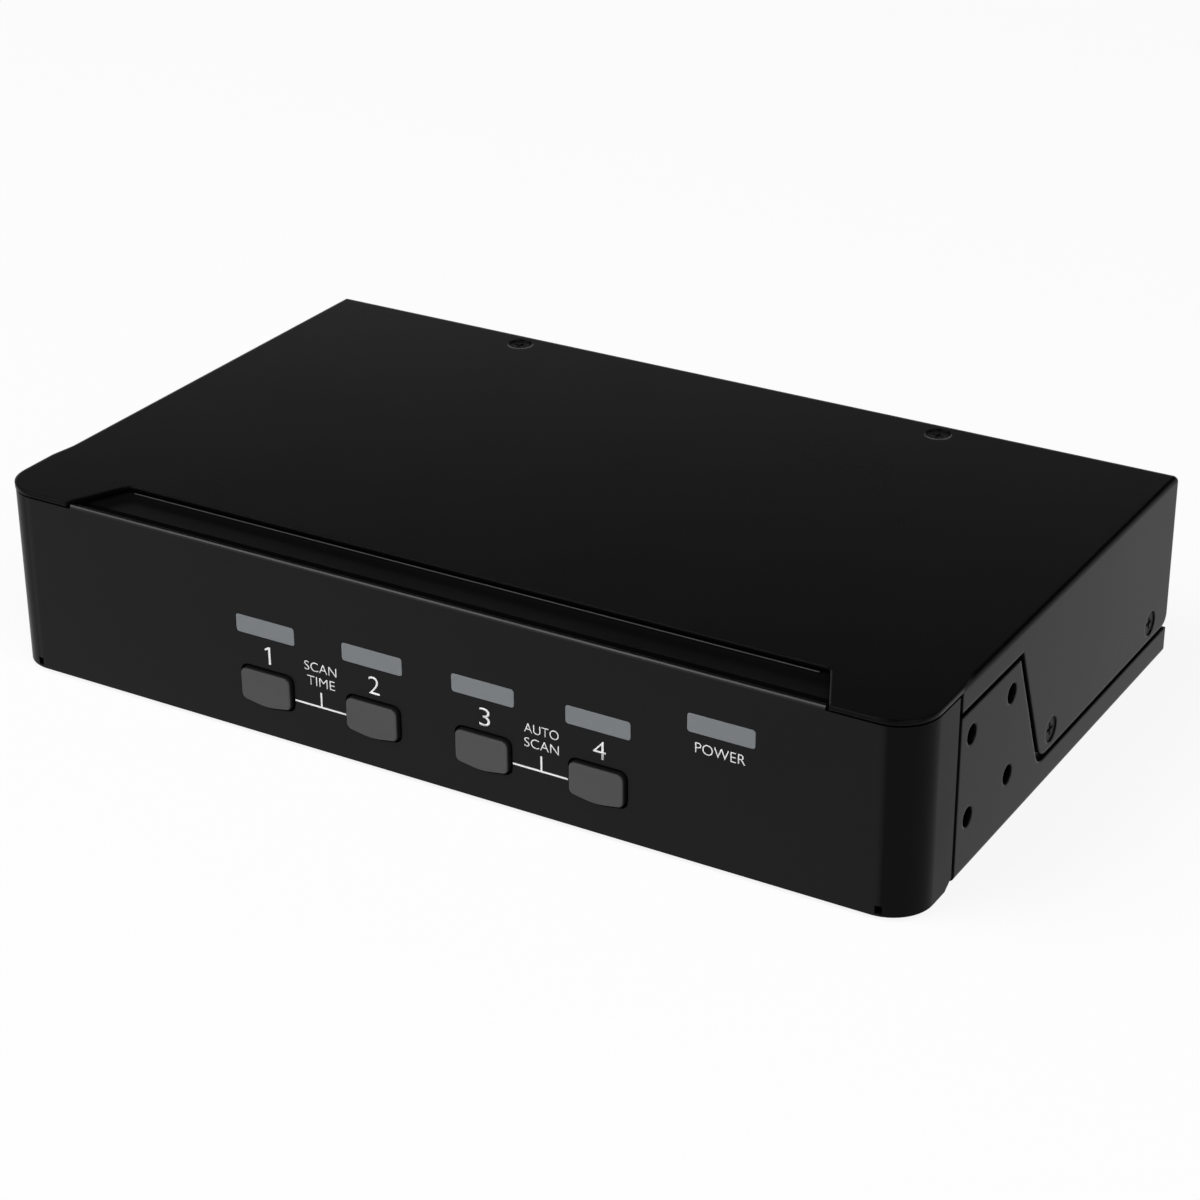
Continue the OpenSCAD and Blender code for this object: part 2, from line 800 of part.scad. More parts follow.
// Steel cover: top plate with the recess in front, and the two side flanges
module top_cover() {
    color(steel_black)
    difference() {
        union() {
            intersection() {
                along_y(y_steel, y_back)
                    difference() {
                        mirror([0, 1])
                            round_low(-half_w, half_w, -z_top, -z_floor, bend_r);
                        mirror([0, 1])
                            round_low(
                                sheet_t - half_w, half_w - sheet_t,
                                sheet_t - z_top, through - z_floor, bend_r - sheet_t
                            );
                    }
                along_x(-half_w, half_w)
                    flange_outline();
            }
            translate([0, 0, z_top - sheet_t])
                linear_extrude(sheet_t) {
                    difference() {
                        round_low(-half_w, half_w, y_front - overhang, y_steel, corner_r);
                        recess_outline();
                    }
                    both_sides()
                        polygon([
                            [half_w - bend_r, y_seam],
                            [half_w, y_seam],
                            [half_w, y_steel],
                            [half_w - bend_r, y_steel + bend_run]
                        ]);
                }
        }
        both_sides()
            at_side_screws()
                sunk_hole();
        at_top_screws()
            sunk_hole();
    }
}

// Lip along the front of the recess, seen from the side
module lip_outline() {
    polygon(rounded([
        [y_front, z_ledge - ledge_t, 0],
        [y_front + lip_t, z_ledge - ledge_t, 0],
        [y_front + lip_t, z_lip, lip_r / 4],
        [y_front, z_lip, lip_r]
    ]));
}

// Rib along the rear of the recess, seen from the side
module rib_outline() {
    y_rear = y_front + recess_d - rib_gap;
    z_low = z_ledge - ledge_t / 2;
    polygon(rounded([
        [y_rear - rib_t, z_low, 0],
        [y_rear, z_low, 0],
        [y_rear, z_ledge + rib_h, rib_t * 0.4],
        [y_rear - rib_t, z_ledge + rib_h, rib_t * 0.4]
    ]));
}

// Cut at the lower edge of the moulding beside the seam, seen from the side
module skirt_cut() {
    polygon([
        [y_seam - skirt_run, z_floor - through],
        [y_seam - skirt_run, z_floor],
        [y_seam, z_floor + skirt_rise],
        [y_seam + through, z_floor + skirt_rise],
        [y_seam + through, z_floor - through]
    ]);
}

// Moulded front: wall with round corners, ledge, lip, openings and screw posts
module front_bezel() {
    lip_w = recess_width(y_front + lip_t) - 2 * rib_gap;
    rib_w = recess_back_w - 2 * recess_r;
    color(moulded_black)
    difference() {
        union() {
            translate([0, 0, z_floor])
                linear_extrude(z_ledge - z_floor)
                    difference() {
                        round_low(-half_w, half_w, y_front, y_seam, corner_r);
                        round_low(
                            bezel_t - half_w, half_w - bezel_t,
                            y_wall, y_seam + through, corner_r - bezel_t
                        );
                    }
            translate([0, 0, z_ledge - ledge_t])
                linear_extrude(ledge_t)
                    round_low(-half_w, half_w, y_front, y_front + ledge_d, corner_r);
            along_x(-lip_w / 2, lip_w / 2)
                lip_outline();
            along_x(-rib_w / 2, rib_w / 2)
                rib_outline();
            for (p = front_posts)
                bar_y(p.x, p.y, post_r, y_wall - bezel_t / 2, y_board);
            both_sides()
                bar_y(fold_x, fold_screw_z, post_r, y_wall - bezel_t / 2, y_fold);
        }
        along_y(y_front - through, y_wall + through) {
            for (x = ports)
                translate([x, z_floor + button_z])
                    polygon(button_outline(button_gap));
            for (p = lamps)
                translate([p.x, z_floor + p.y])
                    polygon(lens_outline(lens_gap));
        }
        block(
            [-lip_w / 2, y_front + lip_t, z_ledge - groove_d],
            [lip_w / 2, y_front + lip_t + groove_w, z_ledge + through]
        );
        both_sides()
            block(
                [half_w - notch_inset - notch_w / 2, y_front - through, z_floor + notch_low],
                [half_w - notch_inset + notch_w / 2, y_wall + through, z_floor + notch_low + notch_h]
            );
        along_x(-half_w - through, half_w + through)
            skirt_cut();
        for (p = front_posts)
            bar_y(p.x, p.y, bore_r, y_board - screw_l, y_board + through);
        both_sides()
            bar_y(fold_x, fold_screw_z, bore_r, y_fold - screw_l, y_fold + through);
    }
}

// Four rubber feet under the base
module rubber_feet() {
    color("#141414")
    both_sides()
        for (p = foot_places)
            translate([p.x, p.y, 0])
                cylinder(r1 = foot_r - foot_h / 4, r2 = foot_r, h = foot_h);
}

module cover_side_screws() {
    color(chip_black)
    both_sides()
        at_side_screws()
            sunk_screw();
}

module cover_top_screws() {
    color(chip_black)
    at_top_screws()
        sunk_screw();
}

module panel_screws() {
    color(chip_black)
    at_panel_screws()
        sunk_screw();
}

module bezel_screws() {
    color(bright_steel)
    both_sides()
        translate([fold_x, y_fold + sheet_t, fold_screw_z])
            rotate([-90, 0, 0])
                raised_screw(screw_l);
}

// Push button: cap, rim behind the wall and stem to its switch
module button(x) {
    color(button_grey)
    union() {
        translate([x, 0, z_floor + button_z]) {
            along_y(y_front - button_proud, y_rim_back)
                polygon(button_outline(0));
            along_y(y_wall + rim_gap, y_rim_back)
                polygon(button_outline(button_gap + button_rim));
        }
        bar_y(x, z_floor + button_z, stem_r, y_rim_back - rim_t / 2, y_plunger);
    }
}

module switch_plunger(x) {
    color("#3a3a3a")
    bar_y(x, z_floor + button_z, plunger_r, y_plunger, y_switch + plunger_in);
}

// Four push switches on the front board, each with a bore for its plunger
module switch_bodies() {
    color("#5a5a5c")
    for (x = ports)
        difference() {
            translate([x - switch_w / 2, y_switch, z_floor + button_z - switch_w / 2])
                cube([switch_w, switch_t, switch_w]);
            bar_y(
                x, z_floor + button_z, plunger_r + plunger_gap,
                y_switch - through, y_switch + plunger_in + button_travel + plunger_gap
            );
        }
}

// Lamp window with its glued rim and the light guide behind it
module lens(p) {
    color("#8d9196")
    translate([p.x, 0, z_floor + p.y]) {
        along_y(y_front, y_wall + rim_t)
            polygon(lens_outline(0));
        along_y(y_wall, y_wall + rim_t)
            polygon(lens_outline(lens_rim));
        translate([-lamp_w / 2, y_wall, -lens_h / 4])
            cube([lamp_w, y_lamp - lamp_gap - y_wall, lens_h / 2]);
    }
}

module indicator_lamps() {
    color("#e8e4c8")
    for (p = lamps)
        translate([p.x - lamp_w / 2, y_lamp, z_floor + p.y - lens_h / 4])
            cube([lamp_w, lamp_t, lens_h / 2]);
}

module front_board() {
    color(board_green)
    difference() {
        block([front_board_x0, y_board, front_board_z0], [front_board_x1, y_board_back, front_board_z1]);
        for (p = front_posts)
            bar_y(p.x, p.y, bore_r, y_board - through, y_board_back + through);
    }
}

module front_board_screws() {
    color(bright_steel)
    for (p = front_posts)
        translate([p.x, y_board_back, p.y])
            rotate([-90, 0, 0])
                raised_screw(screw_l);
}

// Places of the pins in the link between the front board and the lower board
module at_link_pins() {
    for (i = [0 : link_pins - 1])
        translate([link_x + (i - (link_pins - 1) / 2) * link_pitch, 0, link_z])
            children();
}

module link_socket() {
    hole = pin_w + 2 * pin_gap;
    color(chip_black)
    difference() {
        block(
            [link_x - link_w / 2, y_board_back, link_z - link_t / 2],
            [link_x + link_w / 2, y_link, link_z + link_t / 2]
        );
        at_link_pins()
            translate([-hole / 2, y_link - pin_len - pin_gap / 2, -hole / 2])
                cube([hole, link_socket_d, hole]);
    }
}

// Pin strip that stands on the lower board and plugs into the front board's socket
module link_header() {
    color(brass) {
        block(
            [link_x - link_w / 2, y_main_front, z_main_top],
            [link_x + link_w / 2, y_main_front + link_t, z_main_top + link_t]
        );
        at_link_pins()
            translate([-pin_w / 2, y_link - pin_len + pin_gap, -pin_w / 2])
                cube([pin_w, y_main_front + link_t / 2 - y_link + pin_len - pin_gap, pin_w]);
    }
}

// Board of a given width between two depths, with screw holes at the given places
module level_board(w, y0, y1, z, holes) {
    color(board_green)
    difference() {
        block([-w / 2, y0, z], [w / 2, y1, z + board_t]);
        for (p = holes)
            translate([p.x, p.y, z - through])
                cylinder(r = bore_r, h = board_t + 2 * through);
    }
}

module main_board() {
    level_board(main_board_w, y_main_front, y_main_back, z_main, concat(rear_posts, front_row_posts));
}

module video_board() {
    level_board(video_board_w, y_video_front, y_main_back, z_video, rear_posts);
}

// Round posts that are pressed into the floor and carry the lower board
module standoffs() {
    color(bright_steel)
    for (p = concat(rear_posts, front_row_posts))
        translate([p.x, p.y, z_floor + sheet_t])
            difference() {
                cylinder(r = standoff_r, h = standoff_h);
                translate([0, 0, through])
                    cylinder(r = bore_r, h = standoff_h);
            }
}

// Six-sided pillars whose studs pass through the lower board into the posts
module pillars() {
    stud_l = board_t + standoff_h - 2 * through;
    color(brass)
    for (p = rear_posts)
        translate([p.x, p.y, z_main_top])
            difference() {
                union() {
                    cylinder(d = pillar_flats / cos(30), h = pillar_h, $fn = 6);
                    translate([0, 0, -stud_l])
                        cylinder(r = screw_r, h = stud_l + through);
                }
                translate([0, 0, pillar_h - screw_l])
                    cylinder(r = bore_r, h = screw_l + through);
            }
}

module board_screws() {
    color(bright_steel) {
        for (p = rear_posts)
            translate([p.x, p.y, z_video_top])
                raised_screw(screw_l);
        for (p = front_row_posts)
            translate([p.x, p.y, z_main_top])
                raised_screw(screw_l);
    }
}

// Half of the plug between the boards, from z0 to z1
module stack_half(z0, z1) {
    block(
        [stack_x - stack_l / 2, y_stack - stack_t / 2, z0],
        [stack_x + stack_l / 2, y_stack + stack_t / 2, z1]
    );
}

module stack_header() {
    color(chip_black)
    stack_half(z_main_top, z_main_top + pillar_h / 2);
}

module stack_socket() {
    color("#3c3c40")
    stack_half(z_main_top + pillar_h / 2, z_video);
}

// Flat chip of side w with its middle at [x, y] on a board's top face
module chip(x, y, z, w) {
    block([x - w / 2, y - w / 2, z], [x + w / 2, y + w / 2, z + chip_t]);
}

module video_chip() {
    color(chip_black)
    chip(chip_x, y_stack, z_video_top, video_chip_w);
}

// Finned heat sink on the large switching chip
module heat_sink() {
    step = (sink_w - fin_t) / (fin_count - 1);
    color("#2f3133")
    translate([chip_x - sink_w / 2, y_stack - sink_w / 2, sink_z]) {
        cube([sink_w, sink_w, sink_base]);
        for (i = [0 : fin_count - 1])
            translate([i * step, 0, 0])
                cube([fin_t, sink_w, sink_h]);
    }
}

module control_chip() {
    color(chip_black)
    chip(chip_x, y_main_front + 3 * hole_inset + control_chip_w, z_main_top, control_chip_w);
}

// One level shifter behind each video socket, on the upper board
module small_chips() {
    color(chip_black)
    for (x = groups)
        chip(x, y_mouth - video_d - small_chip_w, z_video_top, small_chip_w);
}

// Upright capacitors beside the power jack, on the lower board
module filter_capacitors() {
    color("#26323f")
    for (i = [0 : 2])
        translate([
            power_jack_x - i * (2 * cap_r + pin_w),
            y_back - post_row_2 - standoff_r - cap_r - hole_inset,
            z_main_top
        ])
            cylinder(r = cap_r, h = cap_h);
}

module power_inductor() {
    color("#3f3f41")
    translate([
        power_jack_x - coil_w / 2,
        y_back - post_row_2 - standoff_r - 2 * cap_r - coil_w - 2 * hole_inset,
        z_main_top
    ])
        cube([coil_w, coil_w, coil_h]);
}

module clock_crystal() {
    color(bright_steel)
    translate([
        chip_x + control_chip_w,
        y_main_front + 3 * hole_inset + control_chip_w - crystal_w / 2,
        z_main_top
    ])
        cube([crystal_l, crystal_w, crystal_h]);
}

// Outline of a video socket's shell, inset by g, with its slanted lower corner
module video_outline(g) {
    polygon([
        [g - video_w / 2 + video_chamfer, g],
        [video_w / 2 - g, g],
        [video_w / 2 - g, video_h - g],
        [g - video_w / 2, video_h - g],
        [g - video_w / 2, g + video_chamfer]
    ]);
}

module video_shells() {
    color(bright_steel)
    for (x = groups)
        translate([x, 0, z_video_top])
            difference() {
                along_y(y_mouth - video_d, y_mouth)
                    video_outline(0);
                along_y(y_mouth - video_d + shell_t, y_mouth + through)
                    video_outline(shell_t);
            }
}

// Contact tongue from the back of a socket shell, w by t, with its middle at [x, z]
module tongue(x, z, w, t, d) {
    block(
        [x - w / 2, y_mouth - d + shell_t, z - t / 2],
        [x + w / 2, y_mouth - tongue_inset, z + t / 2]
    );
}

module video_tongues() {
    color(chip_black)
    for (x = groups)
        tongue(x, z_video_top + video_h / 2, video_w - 6 * shell_t, tongue_t, video_d);
}

module host_shells() {
    color(bright_steel)
    for (x = host_groups)
        translate([x + data_offset - host_w / 2, y_mouth - host_d, z_main_top])
            difference() {
                cube([host_w, host_d, host_h]);
                translate([2 * shell_t, shell_t, 2 * shell_t])
                    cube([host_w - 4 * shell_t, host_d, host_h - 4 * shell_t]);
            }
}

module host_tongues() {
    color("#e6e6e2")
    for (x = host_groups)
        tongue(x + data_offset, z_main_top + host_h / 2, host_w / 2, host_h / 4, host_d);
}

// Double socket: one shell with two wide mouths above each other
module device_shell() {
    mouth_h = (device_h - 5 * shell_t) / 2;
    color(bright_steel)
    translate([console + data_offset - device_w / 2, y_mouth - device_d, z_main_top])
        difference() {
            cube([device_w, device_d, device_h]);
            for (z = [shell_t, device_h - shell_t - mouth_h])
                translate([shell_t, shell_t, z])
                    cube([device_w - 2 * shell_t, device_d, mouth_h]);
        }
}

module device_tongues() {
    mouth_h = (device_h - 5 * shell_t) / 2;
    color("#e6e6e2")
    for (z = [shell_t + mouth_h / 2, device_h - shell_t - mouth_h / 2])
        tongue(console + data_offset, z_main_top + z, device_w - 5 * shell_t, tongue_t, device_d);
}

// Sound jack in each group, the first or the second of the pair
module sound_jacks(place) {
    for (g = groups)
        let (x = g + jack_offset + place * jack_pitch)
        difference() {
            union() {
                block(
                    [x - jack_w / 2, y_jack - jack_d, z_main_top],
                    [x + jack_w / 2, y_back, z_main_top + jack_h]
                );
                bar_y(x, z_jack, jack_nose_r, y_jack, y_mouth);
            }
            bar_y(x, z_jack, jack_bore_r, y_jack - jack_bore_l, y_jack + through);
            bar_y(x, z_jack, jack_mouth_r, y_jack, y_mouth + through);
        }
}

module microphone_jacks() {
    color("#d98aa0")
    sound_jacks(0);
}

module speaker_jacks() {
    color("#8fbf5a")
    sound_jacks(1);
}

// Round socket for a direct-current supply
module power_jack() {
    color(chip_black)
    difference() {
        translate([power_jack_x - power_jack_w / 2, y_mouth - power_jack_d, z_main_top])
            cube([power_jack_w, power_jack_d, power_jack_h]);
        bar_y(power_jack_x, z_power_jack, power_bore_r, y_mouth - power_bore_l, y_mouth + through);
    }
}

module power_jack_pin() {
    color(bright_steel)
    bar_y(power_jack_x, z_power_jack, power_pin_r, y_mouth - power_bore_l, y_mouth - tongue_inset);
}

base_chassis();
rear_panel();
top_cover();
front_bezel();
rubber_feet();
cover_side_screws();
cover_top_screws();
panel_screws();
bezel_screws();
for (i = [0 : port_count - 1]) {
    button(ports[i]);
    switch_plunger(ports[i]);
    lens(lamps[i]);
}
lens(lamps[port_count]);  // power_lens
switch_bodies();
indicator_lamps();
front_board();
front_board_screws();
link_socket();
link_header();
main_board();
video_board();
standoffs();
pillars();
board_screws();
stack_header();
stack_socket();
video_chip();
heat_sink();
control_chip();
small_chips();
filter_capacitors();
power_inductor();
clock_crystal();
video_shells();
video_tongues();
host_shells();
host_tongues();
device_shell();
device_tongues();
microphone_jacks();
speaker_jacks();
power_jack();
power_jack_pin();
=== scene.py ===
# %% [markdown]
# # A desktop switch box in black steel and moulded plastic
#
# The object is a low box: a folded steel base and cover, a moulded front with four push buttons
# and five lamp windows, and a rear panel full of sockets. Its solids are already right, so most
# of this lesson is about finish: rounded edges, paint, plastic, plated metal and printed ink.
# We start by loading the solids as a fixed frame and keeping the box that they fill.

# %% Load the fixed frame
import json
import math

import bmesh
import bpy
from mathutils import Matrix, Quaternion, Vector


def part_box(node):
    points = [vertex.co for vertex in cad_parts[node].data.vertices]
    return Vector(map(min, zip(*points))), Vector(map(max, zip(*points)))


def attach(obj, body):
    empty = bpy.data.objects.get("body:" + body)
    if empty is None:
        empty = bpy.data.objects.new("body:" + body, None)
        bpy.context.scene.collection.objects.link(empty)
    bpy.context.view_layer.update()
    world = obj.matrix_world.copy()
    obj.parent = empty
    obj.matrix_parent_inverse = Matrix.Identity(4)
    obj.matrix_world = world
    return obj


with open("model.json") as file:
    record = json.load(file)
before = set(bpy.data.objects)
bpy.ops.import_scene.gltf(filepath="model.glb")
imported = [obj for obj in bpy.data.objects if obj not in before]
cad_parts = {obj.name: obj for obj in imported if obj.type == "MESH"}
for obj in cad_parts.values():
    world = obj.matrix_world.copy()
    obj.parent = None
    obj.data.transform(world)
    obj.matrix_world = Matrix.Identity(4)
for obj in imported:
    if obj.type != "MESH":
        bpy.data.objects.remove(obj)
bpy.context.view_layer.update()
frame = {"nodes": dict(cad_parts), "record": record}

MM = 0.001
MICRON = 1e-6
nodes = frame["nodes"]

# %% [markdown]
# ## Camera
#
# Small products are photographed from some way off with a long lens, so that parallel edges stay
# nearly parallel. A Track To constraint could aim the camera, but a track quaternion is set once and
# leaves nothing behind. A small turn about the camera's own axis then gives the slight lean of a
# tripod that was levelled by hand.

# %% Camera
camera_place = Vector((306.6, -511.6, 311.7)) * MM
camera_target = Vector((2.8, 0.3, 15.6)) * MM
camera_lean = math.radians(-0.34)
lens_length = 90.06
sensor_width = 36.0
nearest_seen = 10 * MM

camera = bpy.data.objects.new("camera", bpy.data.cameras.new("camera"))
camera.data.lens = lens_length
camera.data.sensor_width = sensor_width
camera.data.clip_start = nearest_seen
camera.location = camera_place
camera.rotation_mode = "QUATERNION"
aim = (camera_target - camera_place).to_track_quat("-Z", "Y")
camera.rotation_quaternion = aim @ Quaternion((0, 0, 1), camera_lean)
bpy.context.scene.collection.objects.link(camera)
bpy.context.scene.camera = camera
print("camera is", round((camera_target - camera_place).length, 3), "m from the box")

# %% [markdown]
# ## Node helpers
#
# Every finish below is a small node tree. Trees can be drawn in the shader editor, but a script can
# be read, compared and run again. `add_node` makes a node, sets its options, and fills its inputs: a
# socket is linked, and anything else is set as a constant. The other helpers wrap the nodes that
# come back most. The Mix node has several sockets of one name, so its sockets go by number.

# %% Node helpers
def add_node(tree, kind, inputs=None, **options):
    node = tree.nodes.new(kind)
    for name, value in options.items():
        setattr(node, name, value)
    for name, value in (inputs or {}).items():
        if isinstance(value, bpy.types.NodeSocket):
            tree.links.new(value, node.inputs[name])
        else:
            node.inputs[name].default_value = value
    return node


def product(tree, first, second):
    return add_node(tree, "ShaderNodeMath", {0: first, 1: second}, operation="MULTIPLY").outputs[0]


def agreement(tree, first, second):
    """Cosine of the angle between two directions: 1 where they agree, 0 where they are square."""
    dot = add_node(tree, "ShaderNodeVectorMath", {0: first, 1: second}, operation="DOT_PRODUCT")
    return dot.outputs["Value"]


def ramp(tree, value, start, end, low=0.0, high=1.0, **options):
    """Runs from low to high while a value goes from start to end."""
    span = {"Value": value, "From Min": start, "From Max": end, "To Min": low, "To Max": high}
    return add_node(tree, "ShaderNodeMapRange", span, **options).outputs[0]


def mix_value(tree, share, low, high):
    return add_node(tree, "ShaderNodeMix", {0: share, 2: low, 3: high}).outputs[0]


def mix_colour(tree, share, low, high):
    return add_node(tree, "ShaderNodeMix", {0: share, 6: low, 7: high}, data_type="RGBA").outputs[2]


def new_material(name):
    material = bpy.data.materials.new(name)
    material.use_nodes = True
    material.node_tree.nodes.clear()
    return material, material.node_tree


print("helpers ready: add_node, product, agreement, ramp, mix_value, mix_colour, new_material")

# %% [markdown]
# ## Floor and light
#
# The box stands on a white sweep that glows a little, like a product table lit from below. More lamps
# could whiten the paper, but they would also bleach the box. So the eye, reflections and glass see
# part paper and part even white, and the shadow stays but is faint.

# %% Floor
floor_size = 6.0
floor_white = (0.95, 0.95, 0.95, 1.0)
table_glow = 0.88

half_floor = floor_size / 2
corners = [(-half_floor, -half_floor, 0), (half_floor, -half_floor, 0)]
corners += [(half_floor, half_floor, 0), (-half_floor, half_floor, 0)]
sweep_mesh = bpy.data.meshes.new("floor")
sweep_mesh.from_pydata(corners, [], [(0, 1, 2, 3)])
floor = bpy.data.objects.new("floor", sweep_mesh)
bpy.context.scene.collection.objects.link(floor)

floor_material, tree = new_material("white_sweep")
paper = add_node(tree, "ShaderNodeBsdfDiffuse", {"Color": floor_white})
glow = add_node(tree, "ShaderNodeEmission", {"Strength": 1.0})
path = add_node(tree, "ShaderNodeLightPath")
seen = path.outputs["Is Camera Ray"]
for ray in ("Is Glossy Ray", "Is Transmission Ray"):
    either = add_node(tree, "ShaderNodeMath", {0: seen, 1: path.outputs[ray]}, operation="MAXIMUM")
    seen = either.outputs[0]
share = product(tree, seen, table_glow)
table = add_node(tree, "ShaderNodeMixShader", {0: share, 1: paper.outputs[0], 2: glow.outputs[0]})
add_node(tree, "ShaderNodeOutputMaterial", {"Surface": table.outputs[0]})
floor.data.materials.append(floor_material)
print("floor:", floor_size, "m square, glow", table_glow)

# %% [markdown]
# One large soft lamp stands in front on the left and a weaker one on the right. Black paint has
# almost no colour of its own, so what we see on it is mostly reflection: upright faces mirror the
# bright floor and look grey, while the top mirrors the dark room and stays nearly black. Small
# lamps would put hard spots on the paint, so both are wide squares that point at the box.

# %% Lamps
def soft_lamp(name, place, size, watts):
    lamp = bpy.data.lights.new(name, "AREA")
    lamp.shape = "SQUARE"
    lamp.size = size
    lamp.energy = watts
    holder = bpy.data.objects.new(name, lamp)
    holder.location = place
    holder.rotation_mode = "QUATERNION"
    holder.rotation_quaternion = (-Vector(place)).to_track_quat("-Z", "Y")
    bpy.context.scene.collection.objects.link(holder)


soft_lamp("left_lamp", place=(-0.95, -1.05, 1.65), size=1.6, watts=38)
soft_lamp("right_lamp", place=(1.36, -0.77, 1.54), size=1.4, watts=22)

# %% [markdown]
# The room is dark overhead and bright low down, where the sweep runs up behind the table. The top of
# the box mirrors a place just over that band, so it is lighter at the rear and darker in front. A
# curved backdrop could give the same band, but in the world it is there on every side.

# %% Room
room_low = (1.0, 1.0, 1.0, 1.0)
room_high = (0.004, 0.004, 0.004, 1.0)
low_height, high_height = 0.27, 0.32

world = bpy.data.worlds.new("room")
world.use_nodes = True
tree = world.node_tree
direction = add_node(tree, "ShaderNodeTexCoord").outputs["Generated"]
height = add_node(tree, "ShaderNodeSeparateXYZ", {0: direction}).outputs["Z"]
fade = ramp(tree, height, low_height, high_height, interpolation_type="SMOOTHSTEP")
wall = mix_colour(tree, fade, room_low, room_high)
tree.links.new(wall, tree.nodes["Background"].inputs["Color"])
bpy.context.scene.world = world
bpy.context.scene.view_settings.view_transform = "Standard"
print("room fades between heights", low_height, "and", high_height)

# %% [markdown]
# ## Shared effects
#
# Paint, plastic and rubber all show the same three things in different amounts: a fine grain,
# edges where the surface is rubbed, and a little dust on what faces up. Each is a node group that
# is built once. A group puts out values that vary over the surface, and every finish decides what
# to do with them.
#
# Grain comes first: paint dries with a faint texture, and moulds are etched so that the plastic isn't
# glassy. Pictures would need unwrapped faces, so noise in the object's own space makes it. A second,
# broader noise is the slow drift of tone that no large surface is without.

# %% Grain
def new_group(name, inputs, outputs):
    group = bpy.data.node_groups.new(name, "ShaderNodeTree")
    for label, value in inputs.items():
        socket = group.interface.new_socket(label, in_out="INPUT", socket_type="NodeSocketFloat")
        socket.default_value = value
    for label in outputs:
        group.interface.new_socket(label, in_out="OUTPUT", socket_type="NodeSocketFloat")
    return group, add_node(group, "NodeGroupInput")


def grain_group():
    """Height of a fine grain, and a broad tone that drifts over the surface."""
    group, given = new_group("Fine grain", {"Scale": 2500.0, "Drift": 40.0}, ["Height", "Tone"])
    place = add_node(group, "ShaderNodeTexCoord").outputs["Object"]
    fine_inputs = {"Vector": place, "Scale": given.outputs["Scale"], "Detail": 3.0, "Roughness": 0.6}
    fine = add_node(group, "ShaderNodeTexNoise", fine_inputs)
    broad_inputs = {"Vector": place, "Scale": given.outputs["Drift"], "Detail": 5.0}
    broad = add_node(group, "ShaderNodeTexNoise", broad_inputs)
    add_node(group, "NodeGroupOutput", {"Height": fine.outputs[0], "Tone": broad.outputs[0]})
    return group


grain = grain_group()
print("group:", grain.name)

# %% [markdown]
# Hands and desks rub edges first. The mask for that could be painted, but the Bevel node finds edges
# by itself: wherever a rounded normal turns away from the true one, there is an edge. Noise breaks
# the mask up, because wear is never an even line.

# %% Edge wear
sharp_turn = (0.995, 0.8)
rubbed_noise = (0.4, 0.65)


def wear_group():
    """Mask of the edges, found where a rounded normal turns away from the true one."""
    group, given = new_group("Edge wear", {"Width": 0.4 * MM, "Breakup": 700.0}, ["Mask"])
    soft = add_node(group, "ShaderNodeBevel", {"Radius": given.outputs["Width"]}, samples=6)
    true = add_node(group, "ShaderNodeNewGeometry")
    turn = agreement(group, soft.outputs[0], true.outputs["Normal"])
    place = add_node(group, "ShaderNodeTexCoord").outputs["Object"]
    noise = add_node(group, "ShaderNodeTexNoise", {"Vector": place, "Scale": given.outputs["Breakup"]})
    rubbed = ramp(group, noise.outputs[0], *rubbed_noise)
    mask = product(group, ramp(group, turn, *sharp_turn), rubbed)
    add_node(group, "NodeGroupOutput", {"Mask": mask})
    return group


wear = wear_group()
print("group:", wear.name)

# %% [markdown]
# Dust settles on what faces up. Real specks would be thousands of tiny meshes, so a cell pattern
# stands for them: the middle of each cell is one speck.

# %% Dust
level_enough = (0.5, 0.95)


def dust_group():
    """Mask of small specks on what faces up."""
    group, given = new_group("Settled dust", {"Specks": 900.0, "Share": 0.1}, ["Mask"])
    true = add_node(group, "ShaderNodeNewGeometry")
    facing = add_node(group, "ShaderNodeSeparateXYZ", {0: true.outputs["Normal"]})
    upward = ramp(group, facing.outputs["Z"], *level_enough)
    place = add_node(group, "ShaderNodeTexCoord").outputs["Object"]
    cell_inputs = {"Vector": place, "Scale": given.outputs["Specks"]}
    distance = add_node(group, "ShaderNodeTexVoronoi", cell_inputs).outputs["Distance"]
    speck_inputs = {0: distance, 1: given.outputs["Share"]}
    speck = add_node(group, "ShaderNodeMath", speck_inputs, operation="LESS_THAN")
    add_node(group, "NodeGroupOutput", {"Mask": product(group, upward, speck.outputs[0])})
    return group


dust = dust_group()
print("group:", dust.name)

# %% [markdown]
# ## Finishes
#
# Some finishes change with the way the surface is turned on the object. They could be split into
# more materials, but the faces of a round corner belong to none of them. So a mask compares the
# normal with a direction, and runs from 0 to 1 between two cosines. It stays in place from every side.

# %% Masks by the way a surface is turned
up_way = (0.0, 0.0, 1.0)
front_way = (0.0, -1.0, 0.0)
front_edge_way = (0.0, -0.707, 0.707)

flat_front_limits = (0.97, 0.995)
front_edge_limits = (0.72, 0.86)
button_front_limits = (0.55, 0.90)
past_flat_limits = (0.995, 0.97)
not_upright_limits = (0.15, 0.35)


def turned_to(tree, normal, way, limits):
    return ramp(tree, agreement(tree, normal, way), *limits)


def sheen_level(tree, normal, front, rest, polished):
    """Specular level of the flat front, of all other faces, and of upper front edges."""
    flat_front = turned_to(tree, normal, front_way, flat_front_limits)
    edge = turned_to(tree, normal, front_edge_way, front_edge_limits)
    return mix_value(tree, edge, mix_value(tree, flat_front, rest, front), polished)


def fold_roughness(tree, normal, flat, fold):
    """Roughness of level and upright faces, and of the folds between them."""
    past_flat = turned_to(tree, normal, up_way, past_flat_limits)
    not_upright = turned_to(tree, normal, up_way, not_upright_limits)
    return mix_value(tree, product(tree, past_flat, not_upright), flat, fold)


print("masks ready: turned_to, sheen_level, fold_roughness")

